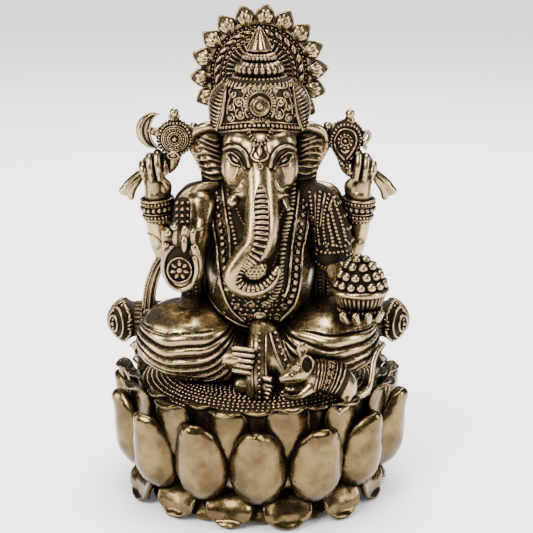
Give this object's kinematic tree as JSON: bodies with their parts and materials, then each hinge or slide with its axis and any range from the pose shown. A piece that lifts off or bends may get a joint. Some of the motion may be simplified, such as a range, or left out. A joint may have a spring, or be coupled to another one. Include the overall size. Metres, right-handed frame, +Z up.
{
  "type": "hindu deity statue",
  "caption": "Tabletop brass figure of a seated, many-armed, elephant-headed deity with a halo, sweets bowl and mouse, on a round tiered lotus pedestal.",
  "frame": {"origin": "centre of the pedestal's underside, on the surface that the statue stands on", "axes": "+Z up to the top of the halo, -Y the way the figure faces, +X to the figure's left, which is the viewer's right"},
  "size_m": [0.0772, 0.0782, 0.12],
  "materials": {
    "polished_brass": "antique brass, rubbed bright on the high places and dark in the recesses",
    "patinated_brass": "dark patina between rows of brighter beads"
  },
  "bodies": {
    "root": {"axe_handle": "polished_brass", "axe_head": "polished_brass", "beaded_seat": "patinated_brass", "belly": "polished_brass", "bolster": "polished_brass", "chest_and_shoulders": "polished_brass", "crown_collar": "polished_brass", "crown_drum": "polished_brass", "crown_ribbed_ring": "polished_brass", "crown_spire": "polished_brass", "front_left_forearm": "polished_brass", "front_left_hand": "polished_brass", "front_left_upper_arm": "polished_brass", "front_right_forearm": "polished_brass", "front_right_palm": "polished_brass", "front_right_upper_arm": "polished_brass", "halo_bud_ring": "polished_brass", "halo_disc": "polished_brass", "head": "polished_brass", "heap_of_sweets": "polished_brass", "hips": "polished_brass", "inner_petal_row": "polished_brass", "left_bolster_end": "polished_brass", "left_crown_side_leaf": "polished_brass", "left_ear": "polished_brass", "left_folded_leg": "polished_brass", "left_foot": "polished_brass", "left_rear_bracelet": "polished_brass", "left_rear_forearm": "polished_brass", "left_rear_hand": "polished_brass", "left_rear_upper_arm": "polished_brass", "left_scarf_end": "polished_brass", "left_tusk": "polished_brass", "lower_petal_row": "polished_brass", "middle_petal_row": "polished_brass", "mouse_body": "polished_brass", "mouse_head": "polished_brass", "mouse_tail": "polished_brass", "noose_head": "polished_brass", "noose_tail": "polished_brass", "outer_petal_row": "polished_brass", "pedestal_core": "polished_brass", "right_bolster_end": "polished_brass", "right_crown_side_leaf": "polished_brass", "right_ear": "polished_brass", "right_folded_leg": "polished_brass", "right_foot": "polished_brass", "right_rear_bracelet": "polished_brass", "right_rear_forearm": "polished_brass", "right_rear_hand": "polished_brass", "right_rear_upper_arm": "polished_brass", "right_scarf_end": "polished_brass", "right_tusk": "polished_brass", "stole": "polished_brass", "sweets_bowl": "polished_brass", "trunk": "polished_brass", "trunk_sweet": "polished_brass", "waist_sash": "polished_brass"}
  },
  "joints": []
}
